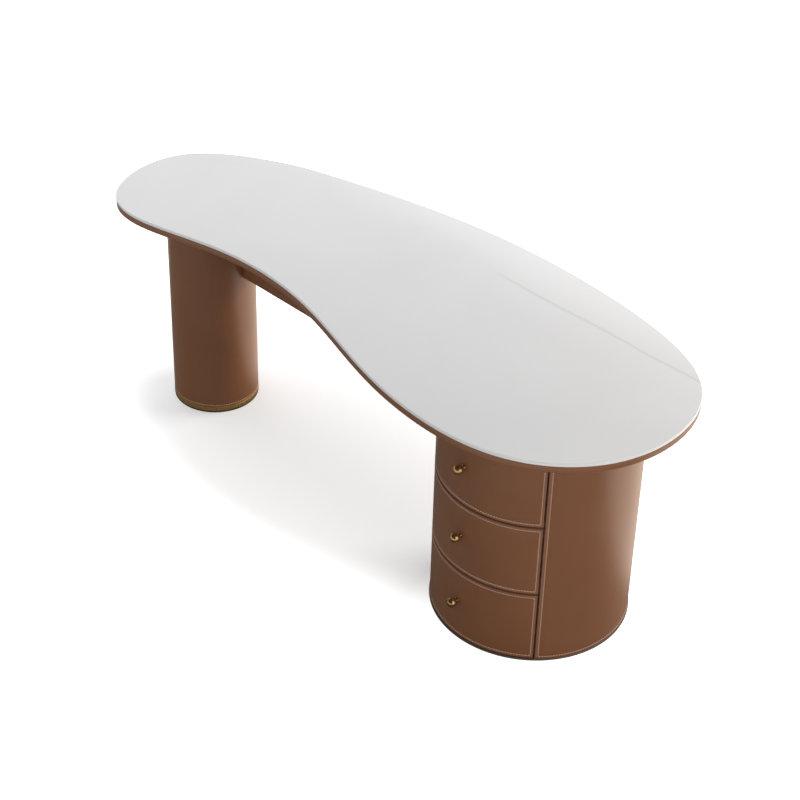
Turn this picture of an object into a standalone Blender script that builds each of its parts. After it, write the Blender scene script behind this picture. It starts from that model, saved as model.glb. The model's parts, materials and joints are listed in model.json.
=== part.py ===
"""Executive desk: a kidney-shaped stone top on a leather-wrapped board, a round leg,
a straight beam, and a round pedestal with three bow-fronted drawers.

All lengths are in metres, with +Z up. The origin is on the floor under the middle of
the top. +X runs along the desk towards the pedestal, and -Y faces the user.
"""

import math

import bmesh
import bpy

# Overall size
TOP_LENGTH = 2.000
TOP_DEPTH = 0.810
DESK_HEIGHT = 0.750

# Fits shared by every piece
SEAT_GAP = 0.0003
LEATHER = 0.0015
CUT_OVERRUN = 0.004
WELD_DISTANCE = 0.00001
EDGE_ROUND = 0.003
ROUND_SEGMENTS = 2
SHARP_ANGLE = math.radians(30)

# Top: control points of a closed cubic spline, as shares of half the length and depth,
# counter-clockwise from the left end. The hollow in the front edge faces the user.
OUTLINE_SHARES = (
    (-1.04, 0.15),
    (-0.97, -0.68),
    (-0.77, -0.85),
    (-0.44, -0.54),
    (-0.06, -0.61),
    (0.30, -0.98),
    (0.76, -1.06),
    (1.02, -0.43),
    (1.00, 0.44),
    (0.76, 0.92),
    (0.02, 1.08),
    (-0.58, 0.70),
    (-0.71, 0.61),
)
OUTLINE_STEPS = 8
SLAB_THICKNESS = 0.010
SLAB_ARRIS = 0.0015
BOARD_THICKNESS = 0.018

# Both supports stand on one line, which runs along X
SUPPORT_LINE_Y = -0.026

# Leg
LEG_FROM_END = 0.221
LEG_RADIUS = 0.134
LEG_WALL = 0.012
LEG_GLIDE_HEIGHT = 0.0047
LEG_GLIDE_INSET = 0.014
LEG_RING_HEIGHT = 0.015
LEG_RING_PROUD = 0.0005
LEG_RING_CHAMFER = 0.001
LEG_BASE_PLUG = 0.018
LEG_TOP_PLUG = 0.030
LEG_STEPS = 64

# Beam between the leg and the pedestal, behind the line that they stand on
BEAM_SETBACK = 0.013
BEAM_DEPTH = 0.080
BEAM_HEIGHT = 0.246

# Pedestal, turned so that its drawers face the person at the desk
PEDESTAL_FROM_END = 0.405
PEDESTAL_TURN = math.radians(-3.3)
PEDESTAL_RADIUS = 0.279
PANEL_THICKNESS = 0.015
DISC_THICKNESS = 0.018
PEDESTAL_GLIDE_HEIGHT = 0.0027
PEDESTAL_GLIDE_WIDTH = 0.030
PEDESTAL_GLIDE_INSET = 0.020
BASE_PLATE_THICKNESS = 0.0055
BASE_PLATE_PROUD = 0.002
BASE_PLATE_CHAMFER = 0.001
PEDESTAL_STEP = math.radians(3.75)
SIDES = (("left", -1), ("right", 1))

# Drawer opening, centred on the pedestal's own -Y
OPENING_CENTRE = math.radians(-90.0)
OPENING_HALF_ANGLE = math.radians(49.0)
GROOVE = 0.007

# Drawers, whose fronts share the height between the base plate and the rail
DRAWER_COUNT = 3
RAIL_HEIGHT = 0.0342
FRONT_LIFT = 0.0037
FRONT_CLOSING_GAP = 0.002
BOX_LIFT = 0.022
BOX_HEADROOM = 0.0454
BOX_BACK_CLEARANCE = 0.031
SIDE_THICKNESS = 0.012
BOTTOM_THICKNESS = 0.006
BOTTOM_LIFT = 0.010
BOTTOM_GROOVE_DEPTH = 0.006

# Partitions that carry the slides, set in from the panel's ends
PARTITION_INSET = 0.0014
PARTITION_THICKNESS = 0.012
PARTITION_SETBACK = 0.006

# Telescopic slides, in three nested members, made in steps of length
SLIDE_WIDTH = 0.0127
SLIDE_LENGTH_STEP = 0.050
SLIDE_HEIGHT = 0.045
SLIDE_SHEET = 0.0012
SLIDE_RUNNING_GAP = 0.0004
SLIDE_WEB_GAP = 0.001
SLIDE_LIP_GAP = 0.0015

# Knobs and their screws
KNOB_RADIUS = 0.014
KNOB_STAND = 0.018
KNOB_STEM_RADIUS = 0.005
KNOB_FLANGE_RADIUS = 0.0075
KNOB_FLANGE_THICKNESS = 0.0015
KNOB_RISE = 0.009
KNOB_BALL_STEPS = 7
KNOB_STEPS = 20
SCREW_RADIUS = 0.002
SCREW_GRIP = 0.010
SCREW_HEAD_RADIUS = 0.0045
SCREW_HEAD_THICKNESS = 0.0025
SCREW_STEPS = 12
HOLE_CLEARANCE = 0.0004

# Places, heights and radii that follow from the sizes above
LEG_X = LEG_FROM_END - TOP_LENGTH / 2
PEDESTAL_X = TOP_LENGTH / 2 - PEDESTAL_FROM_END
SLAB_LOW = DESK_HEIGHT - SLAB_THICKNESS
BOARD_HIGH = SLAB_LOW - SEAT_GAP
BOARD_LOW = BOARD_HIGH - BOARD_THICKNESS
UNDERSIDE = BOARD_LOW - SEAT_GAP - LEATHER
SUPPORT_HIGH = UNDERSIDE - SEAT_GAP
LEG_RING_LOW = LEG_GLIDE_HEIGHT + SEAT_GAP
LEG_RING_HIGH = LEG_RING_LOW + LEG_RING_HEIGHT
LEG_DRUM_LOW = LEG_RING_HIGH + SEAT_GAP
LEG_CORE_RADIUS = LEG_RADIUS - LEATHER - SEAT_GAP
LEG_PLUG_RADIUS = LEG_CORE_RADIUS - LEG_WALL - SEAT_GAP
BASE_PLATE_LOW = PEDESTAL_GLIDE_HEIGHT + SEAT_GAP
BASE_PLATE_HIGH = BASE_PLATE_LOW + BASE_PLATE_THICKNESS
CARCASS_LOW = BASE_PLATE_HIGH + SEAT_GAP
CORE_RADIUS = PEDESTAL_RADIUS - LEATHER - SEAT_GAP
INNER_RADIUS = CORE_RADIUS - PANEL_THICKNESS
DISC_RADIUS = INNER_RADIUS - SEAT_GAP
GROOVE_HALF_ANGLE = GROOVE / 2 / PEDESTAL_RADIUS
FRONT_HALF_ANGLE = OPENING_HALF_ANGLE - GROOVE_HALF_ANGLE
PANEL_HALF_ANGLE = math.pi - OPENING_HALF_ANGLE - GROOVE_HALF_ANGLE
PANEL_CENTRE = OPENING_CENTRE + math.pi
FIRST_FRONT_LOW = BASE_PLATE_HIGH + FRONT_LIFT
RAIL_LOW = SUPPORT_HIGH - RAIL_HEIGHT
DRAWER_PITCH = (RAIL_LOW - FIRST_FRONT_LOW) / DRAWER_COUNT
FRONT_HEIGHT = DRAWER_PITCH - GROOVE
BOX_HEIGHT = FRONT_HEIGHT - BOX_LIFT - BOX_HEADROOM
PARTITION_OUTSIDE = INNER_RADIUS * math.sin(OPENING_HALF_ANGLE) - PARTITION_INSET
PARTITION_FACE = PARTITION_OUTSIDE - PARTITION_THICKNESS
PARTITION_REACH = math.sqrt((INNER_RADIUS - 2 * SEAT_GAP) ** 2 - PARTITION_OUTSIDE**2)
PARTITION_DEPTH = 2 * PARTITION_REACH - PARTITION_SETBACK
SLIDE_FRONT = SEAT_GAP + PARTITION_SETBACK - math.sqrt(INNER_RADIUS**2 - PARTITION_OUTSIDE**2)
SLIDE_LENGTH = SLIDE_LENGTH_STEP * math.floor(PARTITION_DEPTH / SLIDE_LENGTH_STEP)
BOX_HALF_WIDTH = PARTITION_FACE - SLIDE_WIDTH - 2 * SEAT_GAP
BOX_BACK = math.sqrt((INNER_RADIUS - BOX_BACK_CLEARANCE) ** 2 - BOX_HALF_WIDTH**2)
KNOB_HEIGHT = FRONT_HEIGHT / 2 + KNOB_RISE


def clear_scene():
    for thing in list(bpy.data.objects):
        bpy.data.objects.remove(thing, do_unlink=True)


def make_collection(name):
    collection = bpy.data.collections.new(name)
    bpy.context.scene.collection.children.link(collection)
    return collection


def make_finish(name, colour, roughness, metallic):
    finish = bpy.data.materials.new(name)
    finish.use_nodes = True
    shader = finish.node_tree.nodes["Principled BSDF"]
    shader.inputs["Base Color"].default_value = (*colour, 1.0)
    shader.inputs["Roughness"].default_value = roughness
    shader.inputs["Metallic"].default_value = metallic
    finish.diffuse_color = (*colour, 1.0)
    return finish


FINISH_LOOKS = {
    "stone": ((0.74, 0.73, 0.73), 0.08, 0.0),
    "leather": ((0.17, 0.085, 0.05), 0.5, 0.0),
    "board": ((0.55, 0.38, 0.22), 0.6, 0.0),
    "box_wood": ((0.62, 0.47, 0.30), 0.5, 0.0),
    "brass": ((0.72, 0.50, 0.20), 0.2, 1.0),
    "steel": ((0.60, 0.61, 0.62), 0.35, 1.0),
    "dark_metal": ((0.06, 0.045, 0.035), 0.4, 1.0),
    "rubber": ((0.02, 0.02, 0.02), 0.8, 0.0),
}


def assembly(name, location, parent=None):
    """Make an empty that carries the pieces of one assembly."""
    frame = bpy.data.objects.new(name, None)
    frame.location = location
    frame.parent = parent
    PARTS.objects.link(frame)
    return frame


def add_piece(name, mesh, finish, parent):
    """Add a mesh as a finished piece, or as a cutter where it has no finish."""
    piece = bpy.data.objects.new(name, mesh)
    piece.parent = parent
    if finish is None:
        CUTTERS.objects.link(piece)
        piece.hide_render = True
        piece.display_type = "WIRE"
    else:
        PARTS.objects.link(piece)
        mesh.materials.append(finish)
    return piece


def weld(mesh):
    shape = bmesh.new()
    shape.from_mesh(mesh)
    bmesh.ops.remove_doubles(shape, verts=shape.verts, dist=WELD_DISTANCE)
    bmesh.ops.recalc_face_normals(shape, faces=shape.faces)
    shape.to_mesh(mesh)
    shape.free()


def plate_mesh(name, outline, thickness):
    """Extrude a flat outline by its thickness, half to each side of its plane."""
    curve = bpy.data.curves.new(name, "CURVE")
    curve.dimensions = "2D"
    curve.fill_mode = "BOTH"
    curve.extrude = thickness / 2
    spline = curve.splines.new("POLY")
    spline.points.add(len(outline) - 1)
    for point, (x, y) in zip(spline.points, outline):
        point.co = (x, y, 0.0, 1.0)
    spline.use_cyclic_u = True
    holder = bpy.data.objects.new(name, curve)
    PARTS.objects.link(holder)
    graph = bpy.context.evaluated_depsgraph_get()
    mesh = bpy.data.meshes.new_from_object(holder.evaluated_get(graph))
    mesh.name = name
    mesh.materials.clear()
    bpy.data.objects.remove(holder, do_unlink=True)
    weld(mesh)
    return mesh


def plate(name, outline, low, high, finish, parent):
    """Stand a flat outline between two heights."""
    piece = add_piece(name, plate_mesh(name, outline, high - low), finish, parent)
    piece.location.z = (low + high) / 2
    return piece


def extrusion_along_y(name, outline, front, back, finish, parent):
    """Run a cross-section, drawn in X and Z, from a front to a back."""
    piece = add_piece(name, plate_mesh(name, outline, back - front), finish, parent)
    piece.rotation_euler.x = math.radians(90)
    piece.location.y = (front + back) / 2
    return piece


def extrusion_along_x(name, outline, left, right, finish, parent):
    """Run a cross-section, drawn in Y and Z, from a left to a right end."""
    piece = add_piece(name, plate_mesh(name, outline, right - left), finish, parent)
    piece.rotation_euler = (math.radians(90), 0.0, math.radians(90))
    piece.location.x = (left + right) / 2
    return piece


def turned(name, profile, steps, finish, parent, closed):
    """Turn a profile of radii and heights, drawn down its outer side, about Z."""
    mesh = bpy.data.meshes.new(name)
    corners = [(radius, 0.0, height) for radius, height in profile]
    edges = [(i, i + 1) for i in range(len(corners) - 1)]
    if closed:
        edges.append((len(corners) - 1, 0))
    mesh.from_pydata(corners, edges, [])
    piece = add_piece(name, mesh, finish, parent)
    screw = piece.modifiers.new("turn", "SCREW")
    screw.angle = math.tau
    screw.steps = steps
    screw.render_steps = steps
    screw.use_merge_vertices = True
    screw.merge_threshold = WELD_DISTANCE
    screw.use_smooth_shade = False
    return piece


def turned_ring(name, inner, outer, low, high, steps, finish, parent):
    profile = [(inner, high), (outer, high), (outer, low), (inner, low)]
    return turned(name, profile, steps, finish, parent, closed=True)


def turned_disc(name, radius, low, high, steps, finish, parent):
    profile = [(0.0, high), (radius, high), (radius, low), (0.0, low)]
    return turned(name, profile, steps, finish, parent, closed=False)


def cut(piece, cutter):
    boolean = piece.modifiers.new("cut", "BOOLEAN")
    boolean.operation = "DIFFERENCE"
    boolean.solver = "EXACT"
    boolean.object = cutter


def round_edges(piece, width, chosen):
    """Round the sharp edges of a piece that pass a test."""
    mesh = piece.data
    shape = bmesh.new()
    shape.from_mesh(mesh)
    weight = shape.edges.layers.float.new("bevel_weight_edge")
    for edge in shape.edges:
        sharp = edge.calc_face_angle(0.0) > SHARP_ANGLE
        if sharp and chosen(*(corner.co for corner in edge.verts)):
            edge[weight] = 1.0
    shape.to_mesh(mesh)
    shape.free()
    bevel = piece.modifiers.new("round", "BEVEL")
    bevel.width = width
    bevel.segments = ROUND_SEGMENTS
    bevel.limit_method = "WEIGHT"


def rectangle(left, right, low, high):
    return [(left, low), (right, low), (right, high), (left, high)]


def arc(radius, start, end):
    """Points along an arc, on steps that line up from one radius to the next."""
    count = max(2, round(abs(end - start) / PEDESTAL_STEP))
    angles = [start + (end - start) * i / count for i in range(count + 1)]
    return [(radius * math.cos(angle), radius * math.sin(angle)) for angle in angles]


def sector(inner, outer, centre, half_angle):
    """A curved strip between two radii, centred on an angle."""
    start = centre - half_angle
    end = centre + half_angle
    return arc(outer, start, end) + arc(inner, end, start)


def spline_point(corners, share):
    """A point on one span of a uniform cubic spline."""
    weights = (
        (1 - share) ** 3 / 6,
        (3 * share**3 - 6 * share**2 + 4) / 6,
        (-3 * share**3 + 3 * share**2 + 3 * share + 1) / 6,
        share**3 / 6,
    )
    x = sum(weight * corner[0] for weight, corner in zip(weights, corners))
    y = sum(weight * corner[1] for weight, corner in zip(weights, corners))
    return x, y


def centred(values, size):
    """Scale values to span a size, half to each side of zero."""
    low = min(values)
    high = max(values)
    return [((value - low) / (high - low) - 1 / 2) * size for value in values]


def top_outline(inset):
    """The top's kidney outline, drawn in from its edge by an inset."""
    count = len(OUTLINE_SHARES)
    points = []
    for i in range(count):
        corners = [OUTLINE_SHARES[(i + k) % count] for k in range(4)]
        points += [spline_point(corners, step / OUTLINE_STEPS) for step in range(OUTLINE_STEPS)]
    xs = centred([point[0] for point in points], TOP_LENGTH)
    ys = centred([point[1] for point in points], TOP_DEPTH)
    outline = []
    for i in range(len(xs)):
        run = xs[(i + 1) % len(xs)] - xs[i - 1]
        rise = ys[(i + 1) % len(ys)] - ys[i - 1]
        length = math.hypot(run, rise)
        outline.append((xs[i] - inset * rise / length, ys[i] + inset * run / length))
    return outline


def wrap_over_board(name, centre, half_angle, low, high, ends_only, parent):
    """A curved board, and the leather pulled over its face and folded round its edges.

    Where only the ends are wrapped, the leather stops level with the board above and below.
    """
    margin = 0.0 if ends_only else LEATHER + SEAT_GAP
    core_half_angle = half_angle - (LEATHER + SEAT_GAP) / CORE_RADIUS
    core_outline = sector(INNER_RADIUS, CORE_RADIUS, centre, core_half_angle)
    core = plate(name + "_board", core_outline, low + margin, high - margin, FINISH["board"], parent)

    skin_outline = sector(INNER_RADIUS, PEDESTAL_RADIUS, centre, half_angle)
    skin = plate(name + "_leather", skin_outline, low, high, FINISH["leather"], parent)
    face = PEDESTAL_RADIUS - LEATHER

    def outer_edge(first, second):
        on_face = min(math.hypot(first.x, first.y), math.hypot(second.x, second.y)) > face
        return on_face and not (ends_only and first.z == second.z)

    round_edges(skin, EDGE_ROUND, outer_edge)
    beyond = CUT_OVERRUN if ends_only else -LEATHER
    pocket_outline = sector(
        INNER_RADIUS - CUT_OVERRUN,
        CORE_RADIUS + SEAT_GAP,
        centre,
        half_angle - LEATHER / CORE_RADIUS,
    )
    pocket = plate(name + "_pocket", pocket_outline, low - beyond, high + beyond, None, parent)
    cut(skin, pocket)
    return core, skin


def build_top():
    frame = assembly("top", (0.0, 0.0, 0.0))
    slab = plate("stone_top", top_outline(0.0), SLAB_LOW, DESK_HEIGHT, FINISH["stone"], frame)
    round_edges(slab, SLAB_ARRIS, lambda first, second: first.z == second.z)
    inset = LEATHER + SEAT_GAP
    plate("top_board", top_outline(inset), BOARD_LOW, BOARD_HIGH, FINISH["board"], frame)
    wrap = plate("top_leather", top_outline(0.0), UNDERSIDE, BOARD_HIGH, FINISH["leather"], frame)
    round_edges(wrap, EDGE_ROUND, lambda first, second: max(first.z, second.z) < 0.0)
    pocket = plate(
        "top_leather_pocket",
        top_outline(LEATHER),
        UNDERSIDE + LEATHER,
        BOARD_HIGH + CUT_OVERRUN,
        None,
        frame,
    )
    cut(wrap, pocket)


def build_leg():
    frame = assembly("leg", (LEG_X, SUPPORT_LINE_Y, 0.0))
    glide_radius = LEG_RADIUS - LEG_GLIDE_INSET
    turned_disc("leg_glide", glide_radius, 0.0, LEG_GLIDE_HEIGHT, LEG_STEPS, FINISH["rubber"], frame)
    plug_high = LEG_RING_HIGH + LEG_BASE_PLUG
    plug_radius = LEG_PLUG_RADIUS
    turned_disc("leg_base_plug", plug_radius, LEG_RING_LOW, plug_high, LEG_STEPS, FINISH["board"], frame)
    plug_low = SUPPORT_HIGH - LEG_TOP_PLUG
    turned_disc("leg_top_plug", plug_radius, plug_low, SUPPORT_HIGH, LEG_STEPS, FINISH["board"], frame)
    outer = LEG_RADIUS + LEG_RING_PROUD
    bore = plug_radius + SEAT_GAP
    chamfer = LEG_RING_CHAMFER
    ring_profile = [
        (bore, LEG_RING_HIGH),
        (outer - chamfer, LEG_RING_HIGH),
        (outer, LEG_RING_HIGH - chamfer),
        (outer, LEG_RING_LOW + chamfer),
        (outer - chamfer, LEG_RING_LOW),
        (bore, LEG_RING_LOW),
    ]
    turned("leg_brass_ring", ring_profile, LEG_STEPS, FINISH["brass"], frame, closed=True)
    low = LEG_DRUM_LOW
    high = SUPPORT_HIGH
    turned_ring("leg_drum", bore, LEG_CORE_RADIUS, low, high, LEG_STEPS, FINISH["board"], frame)
    skin_radius = LEG_RADIUS - LEATHER
    turned_ring("leg_leather", skin_radius, LEG_RADIUS, low, high, LEG_STEPS, FINISH["leather"], frame)


def build_beam():
    """A straight beam whose ends are coped to the leg and to the pedestal."""
    frame = assembly("beam", (0.0, SUPPORT_LINE_Y, 0.0))
    front = BEAM_SETBACK
    back = front + BEAM_DEPTH
    low = SUPPORT_HIGH - BEAM_HEIGHT
    inset = LEATHER + SEAT_GAP
    section = rectangle(front + inset, back - inset, low + inset, SUPPORT_HIGH)
    core = extrusion_along_x("beam_board", section, LEG_X, PEDESTAL_X, FINISH["board"], frame)
    section = [
        (front, SUPPORT_HIGH),
        (front, low),
        (back, low),
        (back, SUPPORT_HIGH),
        (back - LEATHER, SUPPORT_HIGH),
        (back - LEATHER, low + LEATHER),
        (front + LEATHER, low + LEATHER),
        (front + LEATHER, SUPPORT_HIGH),
    ]
    skin = extrusion_along_x("beam_leather", section, LEG_X, PEDESTAL_X, FINISH["leather"], frame)
    ridge = low + LEATHER / 2

    def lower_edge(first, second):
        return max(first.y, second.y) < ridge and first.z != second.z

    round_edges(skin, EDGE_ROUND, lower_edge)
    for end, x, radius in (("leg", LEG_X, LEG_RADIUS), ("pedestal", PEDESTAL_X, PEDESTAL_RADIUS)):
        steps = LEG_STEPS if end == "leg" else round(math.tau / PEDESTAL_STEP)
        cope_low = low - CUT_OVERRUN
        cope_high = SUPPORT_HIGH + CUT_OVERRUN
        cope = turned_disc("beam_cope_" + end, radius + SEAT_GAP, cope_low, cope_high, steps, None, frame)
        cope.location.x = x
        cut(core, cope)
        cut(skin, cope)


def build_pedestal(frame):
    steps = round(math.tau / PEDESTAL_STEP)
    outer = PEDESTAL_RADIUS - PEDESTAL_GLIDE_INSET
    inner = outer - PEDESTAL_GLIDE_WIDTH
    glide_high = PEDESTAL_GLIDE_HEIGHT
    turned_ring("pedestal_glide", inner, outer, 0.0, glide_high, LEG_STEPS, FINISH["rubber"], frame)
    rim = PEDESTAL_RADIUS + BASE_PLATE_PROUD
    plate_profile = [
        (0.0, BASE_PLATE_HIGH),
        (rim - BASE_PLATE_CHAMFER, BASE_PLATE_HIGH),
        (rim, BASE_PLATE_HIGH - BASE_PLATE_CHAMFER),
        (rim, BASE_PLATE_LOW),
        (0.0, BASE_PLATE_LOW),
    ]
    turned("pedestal_base_plate", plate_profile, steps, FINISH["dark_metal"], frame, closed=False)

    floor_high = CARCASS_LOW + DISC_THICKNESS
    back = arc(DISC_RADIUS, PANEL_CENTRE - PANEL_HALF_ANGLE, PANEL_CENTRE + PANEL_HALF_ANGLE)
    front_radius = DISC_RADIUS - FRONT_CLOSING_GAP
    front = arc(front_radius, OPENING_CENTRE - OPENING_HALF_ANGLE, OPENING_CENTRE + OPENING_HALF_ANGLE)
    plate("pedestal_floor", back + front, CARCASS_LOW, floor_high, FINISH["board"], frame)
    roof_low = SUPPORT_HIGH - DISC_THICKNESS
    turned_disc("pedestal_roof", DISC_RADIUS, roof_low, SUPPORT_HIGH, steps, FINISH["board"], frame)
    wrap_over_board("pedestal_panel", PANEL_CENTRE, PANEL_HALF_ANGLE, CARCASS_LOW, SUPPORT_HIGH, True, frame)
    wrap_over_board("front_rail", OPENING_CENTRE, FRONT_HALF_ANGLE, RAIL_LOW, SUPPORT_HIGH, False, frame)

    for name, side in SIDES:
        outline = rectangle(
            side * PARTITION_FACE,
            side * PARTITION_OUTSIDE,
            PARTITION_SETBACK - PARTITION_REACH,
            PARTITION_REACH,
        )
        low = floor_high + SEAT_GAP
        plate("partition_" + name, outline, low, roof_low - SEAT_GAP, FINISH["board"], frame)


def slide_channel(side, web, lip, half_height):
    """A channel's section: an upright web, and two lips that run from it to a depth."""
    sheet = math.copysign(SLIDE_SHEET, lip - web)
    depths_and_heights = [
        (web, -half_height),
        (lip, -half_height),
        (lip, SLIDE_SHEET - half_height),
        (web + sheet, SLIDE_SHEET - half_height),
        (web + sheet, half_height - SLIDE_SHEET),
        (lip, half_height - SLIDE_SHEET),
        (lip, half_height),
        (web, half_height),
    ]
    wall = PARTITION_FACE - SEAT_GAP
    return [(side * (wall - depth), height) for depth, height in depths_and_heights]


def build_slides(label, height, fixed_frame, middle_frame, drawer_frame):
    """A pair of three-part slides, each member nested in the one before."""
    lip = SLIDE_WIDTH - SLIDE_SHEET - SLIDE_LIP_GAP
    middle_web = SLIDE_SHEET + SLIDE_WEB_GAP
    inner_lip = middle_web + SLIDE_SHEET + SLIDE_LIP_GAP
    step = SLIDE_SHEET + SLIDE_RUNNING_GAP
    outer_half = SLIDE_HEIGHT / 2
    members = (
        ("outer", fixed_frame, 0.0, lip, outer_half),
        ("middle", middle_frame, middle_web, lip, outer_half - step),
        ("inner", drawer_frame, SLIDE_WIDTH, inner_lip, outer_half - 2 * step),
    )
    back = SLIDE_FRONT + SLIDE_LENGTH
    for side_name, side in SIDES:
        for member, frame, web, lip_depth, half_height in members:
            name = f"{label}_slide_{member}_{side_name}"
            section = slide_channel(side, web, lip_depth, half_height)
            piece = extrusion_along_y(name, section, SLIDE_FRONT, back, FINISH["steel"], frame)
            piece.location.z = height


def box_bottom_outline(half_width, back, front_radius):
    """A drawer bottom: straight sides and back, and a front that follows the bow."""
    spread = math.asin(half_width / front_radius)
    bow = arc(front_radius, OPENING_CENTRE - spread, OPENING_CENTRE + spread)
    return bow + [(half_width, back), (-half_width, back)]


def build_box(label, frame):
    """The drawer's sides and back as one glued frame, with the bottom in its groove."""
    outer = BOX_HALF_WIDTH
    inner = outer - SIDE_THICKNESS
    outer_front = SEAT_GAP - math.sqrt(INNER_RADIUS**2 - outer**2)
    inner_front = SEAT_GAP - math.sqrt(INNER_RADIUS**2 - inner**2)
    inner_back = BOX_BACK - SIDE_THICKNESS
    outline = [
        (-outer, outer_front),
        (-inner, inner_front),
        (-inner, inner_back),
        (inner, inner_back),
        (inner, inner_front),
        (outer, outer_front),
        (outer, BOX_BACK),
        (-outer, BOX_BACK),
    ]
    low = BOX_LIFT
    walls = plate(label + "_box_walls", outline, low, low + BOX_HEIGHT, FINISH["box_wood"], frame)

    half_width = inner + BOTTOM_GROOVE_DEPTH
    back = inner_back + BOTTOM_GROOVE_DEPTH
    bottom_low = low + BOTTOM_LIFT
    bottom_high = bottom_low + BOTTOM_THICKNESS
    bottom = box_bottom_outline(half_width, back, INNER_RADIUS - 2 * SEAT_GAP)
    plate(label + "_box_bottom", bottom, bottom_low, bottom_high, FINISH["box_wood"], frame)
    gap = SEAT_GAP
    groove = box_bottom_outline(half_width + gap, back + gap, INNER_RADIUS + CUT_OVERRUN)
    cutter = plate(label + "_groove", groove, bottom_low - gap, bottom_high + gap, None, frame)
    cut(walls, cutter)


def knob_profile():
    """A ball on a stem and flange, with a blind hole for the screw in its foot."""
    neck_angle = math.acos(KNOB_STEM_RADIUS / KNOB_RADIUS)
    profile = []
    for i in range(KNOB_BALL_STEPS + 1):
        angle = math.pi / 2 - (math.pi / 2 + neck_angle) * i / KNOB_BALL_STEPS
        profile.append((KNOB_RADIUS * math.cos(angle), KNOB_STAND + KNOB_RADIUS * math.sin(angle)))
    profile[0] = (0.0, KNOB_STAND + KNOB_RADIUS)
    hole_radius = SCREW_RADIUS + SEAT_GAP
    hole_depth = SCREW_GRIP + SEAT_GAP
    profile += [
        (KNOB_STEM_RADIUS, KNOB_FLANGE_THICKNESS),
        (KNOB_FLANGE_RADIUS, KNOB_FLANGE_THICKNESS),
        (KNOB_FLANGE_RADIUS, 0.0),
        (hole_radius, 0.0),
        (hole_radius, hole_depth),
        (0.0, hole_depth),
    ]
    return profile


def point_forward(piece, distance):
    """Aim a turned piece's axis at the user, at the knob's height."""
    piece.rotation_euler.x = math.radians(90)
    piece.location.y = -distance
    piece.location.z = KNOB_HEIGHT


def build_knob(label, front_pieces, frame):
    knob = turned(label + "_knob", knob_profile(), KNOB_STEPS, FINISH["brass"], frame, closed=False)
    knob_foot = PEDESTAL_RADIUS + SEAT_GAP
    point_forward(knob, knob_foot)
    screw_seat = INNER_RADIUS - SEAT_GAP
    shank = knob_foot - screw_seat + SCREW_GRIP
    screw_profile = [
        (0.0, shank),
        (SCREW_RADIUS, shank),
        (SCREW_RADIUS, 0.0),
        (SCREW_HEAD_RADIUS, 0.0),
        (SCREW_HEAD_RADIUS, -SCREW_HEAD_THICKNESS),
        (0.0, -SCREW_HEAD_THICKNESS),
    ]
    name = label + "_knob_screw"
    screw = turned(name, screw_profile, SCREW_STEPS, FINISH["steel"], frame, closed=False)
    point_forward(screw, screw_seat)
    drill_radius = SCREW_RADIUS + HOLE_CLEARANCE
    drill_length = knob_foot - INNER_RADIUS + CUT_OVERRUN
    drill = turned_disc(
        label + "_drill", drill_radius, -CUT_OVERRUN, drill_length, SCREW_STEPS, None, frame
    )
    point_forward(drill, INNER_RADIUS)
    for piece in front_pieces:
        cut(piece, drill)


def build_drawer(number, pedestal):
    """One drawer, counted from the top, with its slides' middle members on their own frame."""
    label = f"drawer_{number}"
    low = FIRST_FRONT_LOW + (DRAWER_COUNT - number) * DRAWER_PITCH
    frame = assembly(label, (0.0, 0.0, low), pedestal)
    middle_frame = assembly(label + "_slide_middles", (0.0, 0.0, low), pedestal)
    fixed_frame = assembly(label + "_slide_outers", (0.0, 0.0, low), pedestal)
    front = label + "_front"
    pieces = wrap_over_board(front, OPENING_CENTRE, FRONT_HALF_ANGLE, 0.0, FRONT_HEIGHT, False, frame)
    build_box(label, frame)
    build_knob(label, pieces, frame)
    build_slides(label, BOX_LIFT + BOX_HEIGHT / 2, fixed_frame, middle_frame, frame)


def shade_round_pieces():
    for piece in PARTS.objects:
        if piece.type == "MESH":
            piece.data.shade_smooth()
            piece.data.set_sharp_from_angle(angle=SHARP_ANGLE)


clear_scene()
PARTS = make_collection("executive_desk")
CUTTERS = make_collection("executive_desk_cutters")
FINISH = {name: make_finish(name, *look) for name, look in FINISH_LOOKS.items()}
build_top()
build_leg()
build_beam()
PEDESTAL = assembly("pedestal", (PEDESTAL_X, SUPPORT_LINE_Y, 0.0))
PEDESTAL.rotation_euler.z = PEDESTAL_TURN
build_pedestal(PEDESTAL)
for drawer in range(1, DRAWER_COUNT + 1):
    build_drawer(drawer, PEDESTAL)
shade_round_pieces()
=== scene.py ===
"""Looks of the executive desk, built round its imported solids.

All lengths are in metres, with +Z up. The sizes and places of the pieces come from the
frame, and the values below are only those that the solids don't hold.
"""

import json
import math

import bmesh
import bpy
from mathutils import Matrix, Vector


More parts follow.
